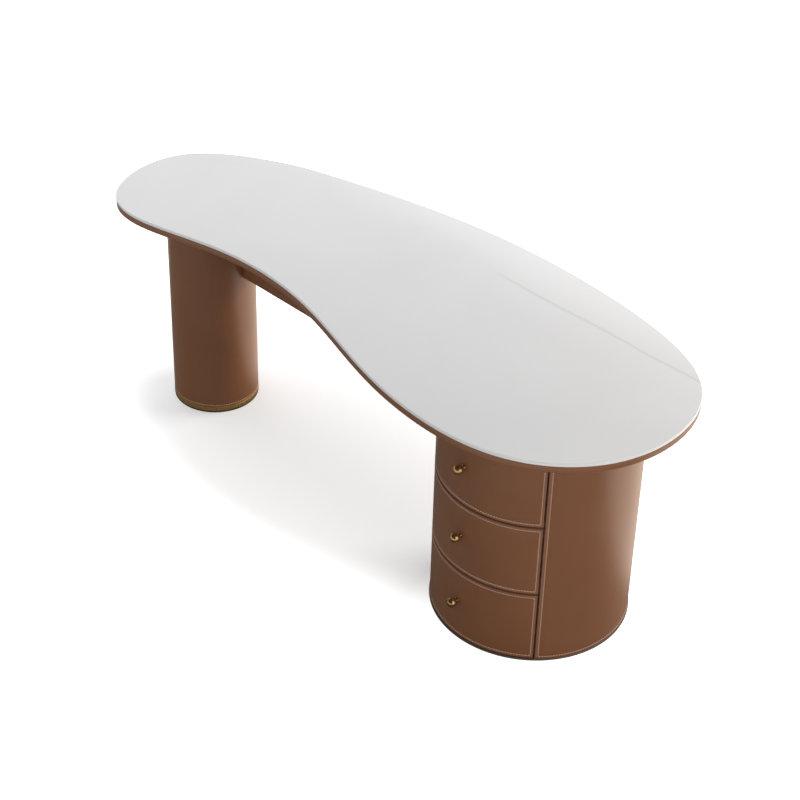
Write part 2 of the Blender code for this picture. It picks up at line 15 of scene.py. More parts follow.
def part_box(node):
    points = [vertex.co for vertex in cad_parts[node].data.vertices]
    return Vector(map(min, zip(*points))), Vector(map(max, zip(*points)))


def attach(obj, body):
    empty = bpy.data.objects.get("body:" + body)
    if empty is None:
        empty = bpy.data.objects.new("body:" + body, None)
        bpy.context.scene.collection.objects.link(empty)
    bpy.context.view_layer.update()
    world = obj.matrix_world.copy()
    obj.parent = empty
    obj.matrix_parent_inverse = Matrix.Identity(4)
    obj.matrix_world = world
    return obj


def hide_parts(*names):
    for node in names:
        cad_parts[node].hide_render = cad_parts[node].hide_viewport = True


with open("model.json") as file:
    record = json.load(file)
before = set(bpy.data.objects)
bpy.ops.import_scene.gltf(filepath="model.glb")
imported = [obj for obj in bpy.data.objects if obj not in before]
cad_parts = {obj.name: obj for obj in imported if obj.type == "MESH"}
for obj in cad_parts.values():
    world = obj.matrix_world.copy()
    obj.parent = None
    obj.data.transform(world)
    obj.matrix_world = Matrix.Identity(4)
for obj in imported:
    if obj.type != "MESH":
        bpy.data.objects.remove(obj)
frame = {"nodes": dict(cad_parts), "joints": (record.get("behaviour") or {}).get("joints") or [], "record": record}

DRAWERS = ("drawer_1", "drawer_2", "drawer_3")
UP = Vector((0.0, 0.0, 1.0))

# Camera, at the photograph's viewing angle
CAMERA_PLACE = Vector((3.3086, -3.2606, 3.5889))
CAMERA_HEADING = math.radians(135.12)
CAMERA_DIP = math.radians(34.91)
CAMERA_ROLL = math.radians(1.593)
CAMERA_LENS = 87.74
SENSOR_WIDTH = 36.0

# Lamps: name, place, the point that each faces, width, height, power and colour
LAMPS = (
    ("behind", (0.9, 2.5, 1.3), (0.0, 0.0, 0.4), 2.0, 1.8, 94.0, (1.0, 0.97, 0.93)),
    ("right", (4.0, -0.4, 1.7), (0.4, 0.0, 0.4), 1.8, 1.8, 43.0, (1.0, 0.96, 0.89)),
    ("front", (1.8, -4.2, 2.2), (0.2, 0.0, 0.4), 2.2, 2.0, 19.0, (1.0, 1.0, 1.0)),
    ("left", (-1.9, 0.1, 2.8), (-0.7, 0.0, 0.7), 2.0, 2.0, 38.0, (0.97, 0.98, 1.0)),
    ("low_left", (-3.4, -1.6, 1.2), (-0.6, 0.0, 0.4), 1.8, 1.4, 8.0, (1.0, 0.95, 0.88)),
)

# World: its even light, and the room that gloss shows, bright behind, beside and low down
WHITE = (1.0, 1.0, 1.0)
WORLD_LIGHT = 0.45
ROOM_RISE_SHARE = 0.80
ROOM_BACK_EDGE = (-0.006, 0.008)
ROOM_SIDE_EDGE = (0.0, 0.8)
ROOM_LOW_EDGE = (0.08, 0.25)
ROOM_LOW_LEVEL = 0.6
ROOM_DARK_LEVEL = 0.04

# Floor, and the shade on it that the camera sees, an ellipse under the desk
FLOOR_REACH = 14.0
FLOOR_COLOUR = (0.66, 0.67, 0.68)
FLOOR_ROUGHNESS = 0.9
SHADE_CENTRE = (-0.30, 0.04)
SHADE_REACH = (0.85, 0.46)
SHADE_EDGE_SHARES = (0.8, 1.3)
SHADE_LEVEL = 0.35

# Floor as gloss shows it: warm and dark, and bright behind a slanted line and far out
GLOSS_COLOUR = (0.11, 0.10, 0.09)
GLOSS_GLOW_COLOUR = (1.0, 0.90, 0.79)
GLOSS_SLANT_SHARE = 0.09
GLOSS_BACK_EDGE = (0.09, 0.32)
GLOSS_BACK_LEVEL = 0.96
GLOSS_FAR_SHARES = (2.6, 3.6)
GLOSS_FAR_LEVEL = 0.60

# Smoothness of the round pieces
TURN_STEPS = 160
OUTLINE_SPLITS = 4
ROUND_STEPS = 5
FIELD_STEP = 0.018
BAND_STEP = 0.0012
SHARP_ANGLE = math.radians(40)
SAME_POINT = 1e-6
SAME_POINT_DIGITS = 6

# Stone slab
STONE_ARRIS = 0.0020
VEIN_PLACE = 0.244
VEIN_WAVER = 0.02
VEIN_WIDTH = 0.009
VEIN_SHARE = 0.42
VEIN_THIN_SHARE = 0.6
VEIN_START = 0.10
VEIN_FADE = 0.15

# Leather: its folds, and how far its stitches, creases and seam are drawn in
LEATHER_LIP = 0.0014
END_SPREAD = 0.0010
LEATHER_FOLD = 0.0011
LEATHER_SOFT_FOLD = 0.0016
WRAP_FOLD = 0.0045
GROOVE_DEPTH = 0.0007
GROOVE_WIDTH = 0.0013
GROOVE_SHARES = (-2.0, -1.2, -0.6, 0.0, 0.6, 1.2, 2.0)
FIELD_SINK = 0.0003
CREASE_DEPTH = 0.0005
CREASE_WIDTH = 0.0009
SEAM_ANGLE = math.radians(135)
SEAM_REACH = 0.03
SEAM_SHARES = (-1.0, -0.5, -0.25, 0.0, 0.25, 0.5)

# Stitching
FRONT_INSET = 0.0075
PANEL_END_INSET = 0.0090
PANEL_FOOT_INSET = 0.0070
LEG_FOOT_INSET = 0.0065
STITCH_PITCH = 0.0080
STITCH_LENGTH = 0.0052
THREAD_WIDTH = 0.0027
THREAD_FLATNESS = 0.6
THREAD_SIDES = 6
THREAD_SINK = 0.0004

# Places along a stitch: shares of its length and width, and of how far it sinks
STITCH_STATION_SHARES = (
    (-0.50, 0.25, -1.0),
    (-0.38, 0.80, -0.2),
    (-0.15, 1.00, 0.3),
    (0.15, 1.00, 0.3),
    (0.38, 0.80, -0.2),
    (0.50, 0.25, -1.0),
)

# Boards under the leather
BOARD_ARRIS = 0.0008

# Knob, as shares of its ball's radius
KNOB_STEM_SHARE = 0.357
KNOB_FLANGE_SHARE = 0.536
KNOB_FLANGE_DEPTH_SHARE = 0.107
KNOB_BALL_STEPS = 20
KNOB_STEPS = 48

# Leg's brass ring and pedestal's base plate
METAL_ROUND = 0.0012
RING_INSIDE_SHARE = 0.85

# Pad under the leg
PAD_SETBACK = 0.0005
PAD_ROUND = 0.0010

# Noise: coordinates that aren't stretched, and the span that most of its values fill
EVEN = (1.0, 1.0, 1.0)
NOISE_SPAN = (0.3, 0.7)

# Leather finish. A noise is its scale, detail and distortion, and a bump its height and share
LEATHER_COLOUR = (0.207, 0.079, 0.030)
LEATHER_DARK = (0.196, 0.075, 0.029)
LEATHER_PALE = (0.218, 0.084, 0.032)
# Painted highlight: the paler colour of the leather's border outside its stitches and of its tucked edges, and its
# greatest share
LEATHER_PAINTED_HIGHLIGHT = (0.27, 0.13, 0.080)
LEATHER_PAINTED_HIGHLIGHT_SHARE = 0.35
LEATHER_PLAIN_ROUGHNESS = 0.41
LEATHER_ROUGHNESS = (0.34, 0.40)
LEATHER_SPECULAR = 0.66
LEATHER_COAT = 0.30
LEATHER_COAT_ROUGHNESS = 0.28
LEATHER_SHEEN = 0.12
LEATHER_SHEEN_ROUGHNESS = 0.40
LEATHER_SHEEN_TINT = (1.0, 0.85, 0.70)
LEATHER_CLOUD_NOISE = (5.0, 4.0)
PORE_SCALE = 520.0
PORE_BUMP = (0.0004, 0.32)
GRAIN_NOISE = (1500.0, 3.0)
GRAIN_BUMP = (0.0002, 0.25)

# Thread finish
THREAD_COLOUR = (0.66, 0.46, 0.37)
THREAD_DARK = (0.61, 0.42, 0.33)
THREAD_PALE = (0.71, 0.50, 0.41)
THREAD_ROUGHNESS = 0.7
STRAND_SCALE = 900.0
STRAND_DISTORTION = 2.0
STRAND_BUMP = (0.0002, 0.4)

# Stone finish, with a painted highlight: its sides are paler than its polished face
STONE_COLOUR = (0.70, 0.69, 0.69)
STONE_DARK = (0.692, 0.690, 0.698)
STONE_PALE = (0.720, 0.719, 0.727)
STONE_SIDE_PAINTED_HIGHLIGHT = (0.77, 0.77, 0.77)
STONE_SIDE_HIGHLIGHT_EDGE = (0.3, 0.9)
STONE_PLAIN_ROUGHNESS = 0.06
STONE_ROUGHNESS = (0.05, 0.08)
STONE_SPECULAR = 0.55
STONE_CLOUD_NOISE = (2.2, 5.0, 0.6)
VEIN_COLOUR = (0.45, 0.46, 0.46)
VEIN_NOISE = (2.5, 3.0)

# Woods: name, pale colour, dark colour, and the stretch of the coordinates along the grain
PLYWOOD = ("plywood", (0.58, 0.42, 0.26), (0.42, 0.28, 0.16), (1.0, 1.0, 0.12))
BEECH = ("beech", (0.66, 0.50, 0.33), (0.52, 0.36, 0.22), (1.0, 0.10, 1.0))
WOOD_PLAIN_ROUGHNESS = 0.5
WOOD_ROUGHNESS = (0.42, 0.58)
WOOD_RING_NOISE = (9.0, 6.0, 1.2)
WOOD_RING_SPAN = (0.35, 0.65)
WOOD_FIBRE_NOISE = (70.0, 3.0)
WOOD_FIBRE_SPAN = (0.45, 0.75)
WOOD_FIBRE_SHARE = 0.45
WOOD_BUMP = (0.0002, 0.2)

# Metals: name, colour, least and greatest roughness, stretch and scale of the lines, and metallic share
BRASS_POLISHED = ("brass_polished", (0.78, 0.53, 0.25), (0.18, 0.26), EVEN, 260.0, 1.0)
BRASS_SATIN = ("brass_satin", (0.92, 0.56, 0.20), (0.26, 0.38), (1.0, 1.0, 0.2), 300.0, 0.85)
BRONZE = ("bronze_dark", (0.24, 0.16, 0.11), (0.34, 0.44), EVEN, 120.0, 0.6)
ZINC = ("zinc_satin", (0.62, 0.63, 0.64), (0.28, 0.42), (1.0, 0.02, 1.0), 900.0, 1.0)
METAL_DARK_SHARE = 0.86
METAL_DETAIL = 4.0
METAL_BUMP = (0.0001, 0.04)

# Rubber finish
RUBBER_COLOUR = (0.02, 0.02, 0.02)
RUBBER_DARK = (0.015, 0.015, 0.015)
RUBBER_PALE = (0.03, 0.03, 0.03)
RUBBER_ROUGHNESS = 0.8
RUBBER_SPECK_NOISE = (900.0, 2.0)
RUBBER_BUMP = (0.0002, 0.3)


def make_mesh(name, points, faces, finish, edge_highlights=None):
    """A smooth piece with one finish. The optional list holds one share for each point of a paler colour, which
    paints a highlight on the leather's border.
    """
    mesh = bpy.data.meshes.new(name)
    mesh.from_pydata(points, [], faces)
    # Each point's share of painted highlight, which the leather finish reads
    if edge_highlights:
        tone = mesh.attributes.new("edge_highlight", "FLOAT", "POINT")
        tone.data.foreach_set("value", edge_highlights)
    shape = bmesh.new()
    shape.from_mesh(mesh)
    bmesh.ops.remove_doubles(shape, verts=shape.verts, dist=SAME_POINT)
    bmesh.ops.recalc_face_normals(shape, faces=shape.faces)
    shape.to_mesh(mesh)
    shape.free()
    mesh.shade_smooth()
    mesh.set_sharp_from_angle(angle=SHARP_ANGLE)
    mesh.materials.append(finish)
    made = bpy.data.objects.new(name, mesh)
    bpy.context.scene.collection.objects.link(made)
    return made


def place(made, body, slot, *nodes):
    """Let a piece ride on its body, in place of the solids that it stands for."""
    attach(made, body)
    if nodes:
        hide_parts(*nodes)


def loft(rings, closed=True, capped=False):
    """Join a run of rings by faces. A ring of one point closes an end, and so does a cap."""
    points = []
    faces = []
    start = 0
    for ring, following in zip(rings, rings[1:]):
        points += ring
        after = start + len(ring)
        count = max(len(ring), len(following))
        for i in range(count if closed else count - 1):
            j = (i + 1) % count
            if len(ring) == 1:
                faces.append((start, after + j, after + i))
            elif len(following) == 1:
                faces.append((start + i, start + j, after))
            else:
                faces.append((start + i, start + j, after + j, after + i))
        start = after
    points += rings[-1]
    if capped:
        faces.append(tuple(range(len(rings[0]))))
        faces.append(tuple(range(start, start + len(rings[-1]))))
    return points, faces


def quarter_round(radius):
    """Steps round a quarter circle, each as a distance in from the edge and a drop."""
    steps = []
    for i in range(ROUND_STEPS + 1):
        angle = math.pi / 2 * i / ROUND_STEPS
        steps.append((radius * (1 - math.cos(angle)), radius * (1 - math.sin(angle))))
    return steps


def rounded_section(low_x, high_x, low_y, high_y, radius):
    """Points round a rectangle with rounded corners."""
    corners = (
        (high_x - radius, high_y - radius),
        (low_x + radius, high_y - radius),
        (low_x + radius, low_y + radius),
        (high_x - radius, low_y + radius),
    )
    points = []
    for quarter, (x, y) in enumerate(corners):
        for i in range(ROUND_STEPS + 1):
            turn = math.pi / 2 * (quarter + i / ROUND_STEPS)
            points.append((x + radius * math.cos(turn), y + radius * math.sin(turn)))
    return points


def spaced(start, end, step):
    """Even places from a start to an end, no further apart than a step."""
    count = max(1, math.ceil((end - start) / step))
    return [start + (end - start) * i / count for i in range(count + 1)]


def level_way(turn):
    return Vector((math.cos(turn), math.sin(turn), 0.0))


def ring_round(axis, radius, height, turns):
    """Points at a height and at a run of turns, round an upright axis."""
    return [Vector((axis.x, axis.y, height)) + level_way(turn) * radius for turn in turns]


def circle(axis, radius, height):
    """A full ring, or one point where it has no radius."""
    turns = [math.tau * i / TURN_STEPS for i in range(TURN_STEPS)]
    return ring_round(axis, radius, height, turns if radius else turns[:1])


def upright_axis(node):
    """The axis, radius, low and high of a round upright solid."""
    low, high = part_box(node)
    return (low + high) / 2, (high.x - low.x) / 2, low.z, high.z


# Outline of the top, from the board's corners


def board_outline():
    """The top's outline in order, smoothed between the board's corners and set out to the leather."""
    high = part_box("top_board")[1].z
    corners = set()
    for corner in frame["nodes"]["top_board"].data.vertices:
        if corner.co.z > high - LEATHER_LIP:
            corners.add((round(corner.co.x, SAME_POINT_DIGITS), round(corner.co.y, SAME_POINT_DIGITS)))
    corners = sorted(corners, key=lambda corner: math.atan2(corner[1], corner[0]))
    ring = [Vector((x, y, 0.0)) for x, y in corners]
    count = len(ring)
    smooth = []
    for i in range(count):
        before, start, end, after = (ring[(i + k - 1) % count] for k in range(4))
        for step in range(OUTLINE_SPLITS):
            t = step / OUTLINE_SPLITS
            point = 2 * start + (end - before) * t
            point += (2 * before - 5 * start + 4 * end - after) * t**2
            point += (3 * start - before - 3 * end + after) * t**3
            smooth.append(point / 2)
    low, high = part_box("top_leather")
    ring = inset_ring(smooth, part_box("top_board")[1].x - high.x)
    across = fitted([point.x for point in ring], low.x, high.x)
    along = fitted([point.y for point in ring], low.y, high.y)
    return [Vector((x, y, 0.0)) for x, y in zip(across, along)]


def fitted(values, low, high):
    """Values moved and scaled so that they run from a low to a high."""
    least = min(values)
    scale = (high - low) / (max(values) - least)
    return [low + (value - least) * scale for value in values]


def inset_ring(ring, inset, height=0.0):
    """A flat ring drawn in from its edge by an inset, at a height."""
    moved = []
    for i, point in enumerate(ring):
        run = ring[(i + 1) % len(ring)] - ring[i - 1]
        inward = Vector((-run.y, run.x, 0.0)).normalized()
        moved.append(Vector((point.x, point.y, height)) + inward * inset)
    return moved


def build_plate(name, node, outline, low_round, high_round, finish, slot):
    """A flat plate of the top's outline, with its edges rounded below and above."""
    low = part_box(node)[0].z
    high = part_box(node)[1].z
    rings = [[Vector((0.0, 0.0, low))], inset_ring(outline, 2 * low_round, low)]
    rings += [inset_ring(outline, inset, low + drop) for inset, drop in reversed(quarter_round(low_round))]
    rings += [inset_ring(outline, inset, high - drop) for inset, drop in quarter_round(high_round)]
    rings += [inset_ring(outline, 2 * high_round, high), [Vector((0.0, 0.0, high))]]
    points, faces = loft(rings)
    place(make_mesh(name, points, faces, finish), "desk", slot, node)


# Stitches


def add_stitch(points, faces, centre, along, out):
    """One stitch: a short thread that rises from the leather and dives back into it."""
    side = along.cross(out)
    rings = []
    for reach, girth, lift in STITCH_STATION_SHARES:
        middle = centre + along * (STITCH_LENGTH * reach) + out * (THREAD_SINK * lift)
        wide = side * (THREAD_WIDTH / 2 * girth)
        tall = out * (THREAD_WIDTH / 2 * girth * THREAD_FLATNESS)
        turns = [math.tau * i / THREAD_SIDES for i in range(THREAD_SIDES)]
        rings.append([middle + wide * math.cos(turn) + tall * math.sin(turn) for turn in turns])
    made, joined = loft(rings, capped=True)
    start = len(points)
    points += made
    faces += [tuple(start + i for i in face) for face in joined]


def build_stitching(name, runs, body, thread):
    """Stitches along runs. A run is its length, and a function that gives a place, a way and a normal."""
    points = []
    faces = []
    for length, at in runs:
        count = max(1, round(length / STITCH_PITCH))
        for i in range(count):
            add_stitch(points, faces, *at(length * (i + 0.5) / count))
    place(make_mesh(name, points, faces, thread), body, "leather")


def groove_at(distance):
    """How deep the leather is pulled in, at a distance from a line of stitches."""
    return GROOVE_DEPTH * math.exp(-((distance / GROOVE_WIDTH) ** 2))


def side_marks(fold, inset):
    """Distances in from a side, closest together in its fold and at its stitches."""
    marks = [distance for distance, _ in quarter_round(fold)]
    if inset:
        marks += spaced(fold, inset + GROOVE_WIDTH * GROOVE_SHARES[0], BAND_STEP)[1:-1]
        marks += [inset + GROOVE_WIDTH * share for share in GROOVE_SHARES]
    return marks


def marks_between(length, first, last):
    """Places across a skin, from one side's fold and stitches to the other's."""
    start = side_marks(*first)
    end = [length - mark for mark in reversed(side_marks(*last))]
    return start + spaced(start[-1], end[0], FIELD_STEP)[1:-1] + end


# Leather round the leg


def build_leg(leather, thread):
    """The leg's wrap, with its upright seam at the back and its stitches round the foot."""
    axis, radius, low, high = upright_axis("leg_leather")
    seam_end = SEAM_ANGLE + SEAM_REACH
    turns = [SEAM_ANGLE + SEAM_REACH * share for share in SEAM_SHARES]
    turns += spaced(seam_end, SEAM_ANGLE + math.tau - SEAM_REACH, math.tau / TURN_STEPS)[:-1]
    foot = (LEATHER_SOFT_FOLD, LEG_FOOT_INSET)
    rings = []
    highlight_shares = []
    for mark in marks_between(high - low, foot, (LEATHER_SOFT_FOLD, None)):
        ring = []
        for turn in turns:
            drop = groove_at((turn - SEAM_ANGLE) * radius) + groove_at(mark - LEG_FOOT_INSET)
            drop += fold_drop(mark, LEATHER_SOFT_FOLD)
            ring.append(Vector((axis.x, axis.y, low + mark)) + level_way(turn) * (radius - drop))
            # Painted highlight: the border below the foot stitches is painted paler
            highlight_shares.append(1.0 if mark < LEG_FOOT_INSET else 0.0)
        rings.append(ring)
    tucked = radius - LEATHER_LIP - LEATHER_SOFT_FOLD
    rings = [ring_round(axis, tucked, low, turns)] + rings + [ring_round(axis, tucked, high, turns)]
    # The tucked edges at the foot and the top are painted paler in full, as painted highlight
    highlight_shares = [1.0] * len(turns) + highlight_shares + [0.0] * len(turns)
    points, faces = loft(rings)
    place(make_mesh("leg_wrap", points, faces, leather, highlight_shares), "desk", "leather", "leg_leather")

    def at(distance):
        out = level_way(distance / radius)
        seat = Vector((axis.x, axis.y, low + LEG_FOOT_INSET)) + out * (radius - GROOVE_DEPTH)
        return seat, UP.cross(out), out

    build_stitching("leg_stitching", [(math.tau * radius, at)], "desk", thread)


# Leather and boards that curve round the pedestal


def drawer_facing():
    """The turn of the way in which the drawers open."""
    slide = next(joint for joint in frame["joints"] if joint["child"] == DRAWERS[0])
    return math.atan2(slide["axis"][1], slide["axis"][0])


def pedestal_axis():
    return upright_axis("pedestal_base_plate")[0]


def curve_of(node, facing):
    """The radii, half angle, low and high of a solid that curves round the pedestal's axis."""
    axis = pedestal_axis()
    radii = []
    turns = []
    for corner in frame["nodes"][node].data.vertices:
        x = corner.co.x - axis.x
        y = corner.co.y - axis.y
        radii.append(math.hypot(x, y))
        turns.append(abs(math.remainder(math.atan2(y, x) - facing, math.tau)))
    low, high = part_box(node)
    return min(radii), max(radii), max(turns), low.z, high.z


def fold_drop(distance, fold):
    """How far a rounded fold falls away, at a distance in from its side."""
    if distance >= fold:
        return 0.0
    return fold - math.sqrt(fold**2 - (fold - distance) ** 2)


class Skin:
    """Leather over one curved board. Its sides, the ends, foot and head, each have a fold and an inset."""

    def __init__(self, node, facing, sides):
        self.ends, self.foot, self.head = sides
        self.axis = pedestal_axis()
        self.inner, self.radius, half_angle, self.low, high = curve_of(node, facing)
        half_angle += END_SPREAD / self.radius
        self.start = facing - half_angle
        self.width = 2 * half_angle * self.radius
        self.height = high - self.low

    def out(self, u):
        """The way out from the axis, at a distance across the skin."""
        return level_way(self.start + u / self.radius)

    def point(self, u, v, reach):
        return Vector((self.axis.x, self.axis.y, self.low + v)) + self.out(u) * reach

    def from_sides(self, u, v):
        ends = ((u, self.ends), (self.width - u, self.ends))
        return ends + ((v, self.foot), (self.height - v, self.head))

    def past_stitches(self, u, v):
        """Distances past the two nearest rows of stitches, less than nothing in the border."""
        past = [distance - inset for distance, (_, inset) in self.from_sides(u, v) if inset]
        return sorted(past)[:2] or (FIELD_STEP, FIELD_STEP)

    def drop(self, u, v):
        """How far the leather is drawn in by its folds, its stitches and the creases in its corners."""
        nearest, next_nearest = self.past_stitches(u, v)
        drop = sum(fold_drop(distance, fold) for distance, (fold, _) in self.from_sides(u, v))
        drop += groove_at(nearest)
        if nearest > 0:
            drop += FIELD_SINK
        if next_nearest < 0:
            drop += CREASE_DEPTH * math.exp(-(((next_nearest - nearest) / CREASE_WIDTH) ** 2))
        return drop

    # Painted highlight: 1 in the border outside the stitches, which the finish paints paler
    def edge_highlight(self, u, v):
        return 1.0 if self.past_stitches(u, v)[0] < 0 else 0.0


def rim_of_grid(columns, rows):
    """The points round the rim of a grid, in order."""
    rim = list(range(columns))
    rim += [columns * i + columns - 1 for i in range(1, rows)]
    rim += [columns * (rows - 1) + i for i in range(columns - 2, -1, -1)]
    rim += [columns * i for i in range(rows - 2, 0, -1)]
    return rim


def stitch_runs(skin):
    """Runs of stitches up a skin's two ends, and along its foot and head where these have an inset."""
    end_inset, foot_inset, head_inset = (inset for _, inset in (skin.ends, skin.foot, skin.head))
    seat = skin.radius - GROOVE_DEPTH
    bottom = foot_inset or 0.0
    rise = skin.height - bottom - (head_inset or 0.0)
    breadth = skin.width - 2 * end_inset

    def upright(u):
        return lambda distance: (skin.point(u, bottom + distance, seat), UP, skin.out(u))

    def level(v):
        def at(distance):
            out = skin.out(end_inset + distance)
            return skin.point(end_inset + distance, v, seat), UP.cross(out), out

        return at

    runs = [(rise, upright(end_inset)), (rise, upright(skin.width - end_inset))]
    if foot_inset:
        runs.append((breadth, level(foot_inset)))
    if head_inset:
        runs.append((breadth, level(skin.height - head_inset)))
    return runs


def build_skin(name, facing, sides, body, leather, thread):
    """The leather of one curved board, turned in at its rim, and its stitches."""
    node = name + "_leather"
    skin = Skin(node, facing, sides)
    across = marks_between(skin.width, skin.ends, skin.ends)
    upward = marks_between(skin.height, skin.foot, skin.head)
    columns = len(across)
    rows = [[skin.point(u, v, skin.radius - skin.drop(u, v)) for u in across] for v in upward]
    # Painted highlight: each point's share of the paler border colour
    highlight_shares = [skin.edge_highlight(u, v) for v in upward for u in across]
    points, faces = loft(rows, closed=False)
    rim = rim_of_grid(columns, len(upward))
    start = len(points)
    # The turned-in rim is painted paler in full, as painted highlight
    for lip in (0.0, LEATHER_LIP):
        for i in rim:
            u = min(max(across[i % columns], lip), skin.width - lip)
            v = min(max(upward[i // columns], lip), skin.height - lip)
            points.append(skin.point(u, v, skin.inner))
            highlight_shares.append(1.0)
    for i in range(len(rim)):
        j = (i + 1) % len(rim)
        faces.append((rim[i], rim[j], start + j, start + i))
        faces.append((start + i, start + j, start + len(rim) + j, start + len(rim) + i))
    place(make_mesh(name + "_skin", points, faces, leather, highlight_shares), body, "leather", node)
    if skin.ends[1]:
        build_stitching(name + "_stitching", stitch_runs(skin), body, thread)


def build_curved_board(name, facing, body, finish):
    """A curved board with its sharp edges taken off."""
    node = name + "_board"
    axis = pedestal_axis()
    inner, outer, half_angle, low, high = curve_of(node, facing)
    full = rounded_section(inner, outer, low, high, BOARD_ARRIS)
    edge = BOARD_ARRIS
    small = rounded_section(inner + edge, outer - edge, low + edge, high - edge, edge / 2)
    start = facing - half_angle
    end = facing + half_angle
    bend = edge / outer
    stations = [(turn, full) for turn in spaced(start + bend, end - bend, FIELD_STEP / outer)]
    stations = [(start, small)] + stations + [(end, small)]
    rings = []
    for turn, section in stations:
        out = level_way(turn)
        rings.append([Vector((axis.x, axis.y, height)) + out * reach for reach, height in section])
    points, faces = loft(rings, capped=True)
    place(make_mesh(name + "_core", points, faces, finish), body, "board", node)


def build_pedestal_faces(facing, leather, thread, board):
    """The curved boards and skins of the panel, the rail over the drawers and the drawers' fronts."""
    behind = facing + math.pi
    firm = (LEATHER_FOLD, None)
    soft = (LEATHER_SOFT_FOLD, None)
    panel = ((LEATHER_FOLD, PANEL_END_INSET), (LEATHER_SOFT_FOLD, PANEL_FOOT_INSET), soft)
    front = ((LEATHER_FOLD, FRONT_INSET),) * 3
    build_skin("pedestal_panel", behind, panel, "desk", leather, thread)
    build_skin("front_rail", facing, (firm, firm, firm), "desk", leather, thread)
    build_curved_board("pedestal_panel", behind, "desk", board)
    build_curved_board("front_rail", facing, "desk", board)
    for drawer in DRAWERS:
        build_skin(drawer + "_front", facing, front, drawer, leather, thread)
        build_curved_board(drawer + "_front", facing, drawer, board)


# Leather round the beam


def build_beam(facing, leather):
    """The beam's wrap, coped to the leg and to the pedestal."""
    low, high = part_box("beam_leather")
    leg, leg_radius, _, _ = upright_axis("leg_leather")
    pedestal = pedestal_axis()
    pedestal_radius = curve_of("pedestal_panel_leather", facing + math.pi)[1]
    rows = []
    for y, z in rounded_section(low.y, high.y, low.z, high.z, LEATHER_FOLD):
        left = leg.x + math.sqrt(leg_radius**2 - (y - leg.y) ** 2)
        right = pedestal.x - math.sqrt(pedestal_radius**2 - (y - pedestal.y) ** 2)
        rows.append([left, right, y, z])
    stations = spaced(0.0, 1.0, FIELD_STEP / (high.x - low.x))
    rings = []
    for share in stations:
        rings.append([Vector((left + (right - left) * share, y, z)) for left, right, y, z in rows])
    points, faces = loft(rings, capped=True)
    place(make_mesh("beam_wrap", points, faces, leather), "desk", "leather", "beam_leather")


# Metal pieces


def turned(axis, inside, radius, low, high, rounding):
    """Points and faces of a flat round piece about an upright axis, with its outer edges rounded."""
    steps = quarter_round(rounding)
    profile = [(inside, low)]
    profile += [(radius - inset, low + drop) for inset, drop in reversed(steps)]
    profile += [(radius - inset, high - drop) for inset, drop in steps]
    profile.append((inside, high))
    return loft([circle(axis, reach, height) for reach, height in profile])


def build_turned_rim(name, node, inside_share, finish, slot):
    """A ring, or a plate where it has no inside, with softly rounded edges."""
    axis, radius, low, high = upright_axis(node)
    points, faces = turned(axis, radius * inside_share, radius, low, high, METAL_ROUND)
    place(make_mesh(name, points, faces, finish), "desk", slot, node)


def build_foot_pad(finish):
    """A thin dark pad under the leg's brass ring, which shows as a line at the floor."""
    axis, _, low, high = upright_axis("leg_glide")
    radius = upright_axis("leg_brass_ring")[1] - PAD_SETBACK
    points, faces = turned(axis, 0.0, radius, low, high, PAD_ROUND)
    place(make_mesh("leg_foot_pad", points, faces, finish), "desk", "rubber", "leg_glide")


def knob_profile(radius, foot, centre):
    """From the ball's tip to the middle of the flange, distances out from the knob's line and along it."""
    stem = radius * KNOB_STEM_SHARE
    flange = radius * KNOB_FLANGE_SHARE
    depth = radius * KNOB_FLANGE_DEPTH_SHARE
    rise = foot + depth
    edge = depth / 2
    sweep = math.pi - math.asin(KNOB_STEM_SHARE)
    profile = [(0.0, centre + radius)]
    for i in range(1, KNOB_BALL_STEPS + 1):
        angle = sweep * i / KNOB_BALL_STEPS
        profile.append((radius * math.sin(angle), centre + radius * math.cos(angle)))
    profile += [(stem, rise + edge), (stem + edge, rise)]
    profile += [(flange - edge, rise), (flange, rise - edge), (flange, foot), (0.0, foot)]
    return profile


def build_knob(drawer, facing, finish):
    """A ball on a short stem and a flange, turned about the way that the drawer opens."""
    node = drawer + "_knob"
    out = level_way(facing)
    side = UP.cross(out)
    low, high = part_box(node)
    radius = (high.z - low.z) / 2
    corners = [corner.co for corner in frame["nodes"][node].data.vertices]
    reaches = [corner.dot(out) for corner in corners]
    asides = [corner.dot(side) for corner in corners]
    line = side * (min(asides) + max(asides)) / 2 + UP * (low.z + radius)
    rings = []
    for reach, along in knob_profile(radius, min(reaches), max(reaches) - radius):
        count = 1 if reach == 0 else KNOB_STEPS
        turns = [math.tau * i / KNOB_STEPS for i in range(count)]
        middle = line + out * along
        rings.append([middle + (side * math.cos(turn) + UP * math.sin(turn)) * reach for turn in turns])
    points, faces = loft(rings)
    place(make_mesh(drawer + "_ball_knob", points, faces, finish), drawer, "brass", node)


# Finishes


def start_finish(name, colour, roughness, metallic=0.0):
    """A finish of one plain colour and roughness, which its nodes then vary."""
    finish = bpy.data.materials.new(name)
    finish.use_nodes = True
    shader = finish.node_tree.nodes["Principled BSDF"]
    shader.inputs["Base Color"].default_value = (*colour, 1.0)
    shader.inputs["Roughness"].default_value = roughness
    shader.inputs["Metallic"].default_value = metallic
    return finish, finish.node_tree, shader


def add_node(tree, kind, inputs=None, **settings):
    """A node of a kind, with its settings, and each input linked to a socket or set to a value."""
    made = tree.nodes.new("ShaderNode" + kind)
    for name, value in settings.items():
        setattr(made, name, value)
    for name, value in (inputs or {}).items():
        if isinstance(value, bpy.types.NodeSocket):
            tree.links.new(value, made.inputs[name])
        else:
            made.inputs[name].default_value = value
    return made


